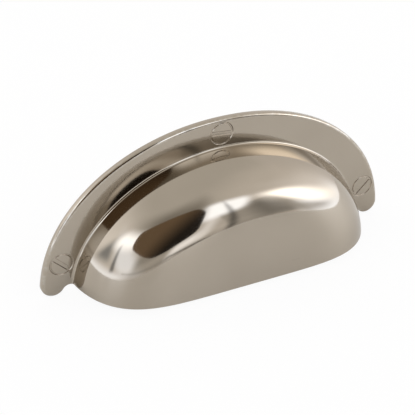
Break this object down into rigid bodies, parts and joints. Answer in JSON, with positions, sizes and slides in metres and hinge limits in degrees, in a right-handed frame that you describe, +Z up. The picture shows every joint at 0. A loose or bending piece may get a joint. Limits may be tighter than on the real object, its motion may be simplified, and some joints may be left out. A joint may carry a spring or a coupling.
{
  "type": "cup pull",
  "caption": "Cup pull: a hollow dome, open below, on a flat arched flange with imitation slotted screw heads; tapped posts inside take fixing screws from behind.",
  "frame": {"origin": "midway between the two fixing holes, on the plane of the back that lies against the drawer front", "axes": "+X to the right along the width, +Y backwards out of the back, +Z up towards the top of the flange's arch"},
  "size_m": [0.0956, 0.0205, 0.0391],
  "materials": {
    "nickel": "polished nickel plate on a zinc die casting"
  },
  "bodies": {
    "root": {"pull": "nickel"}
  },
  "joints": []
}
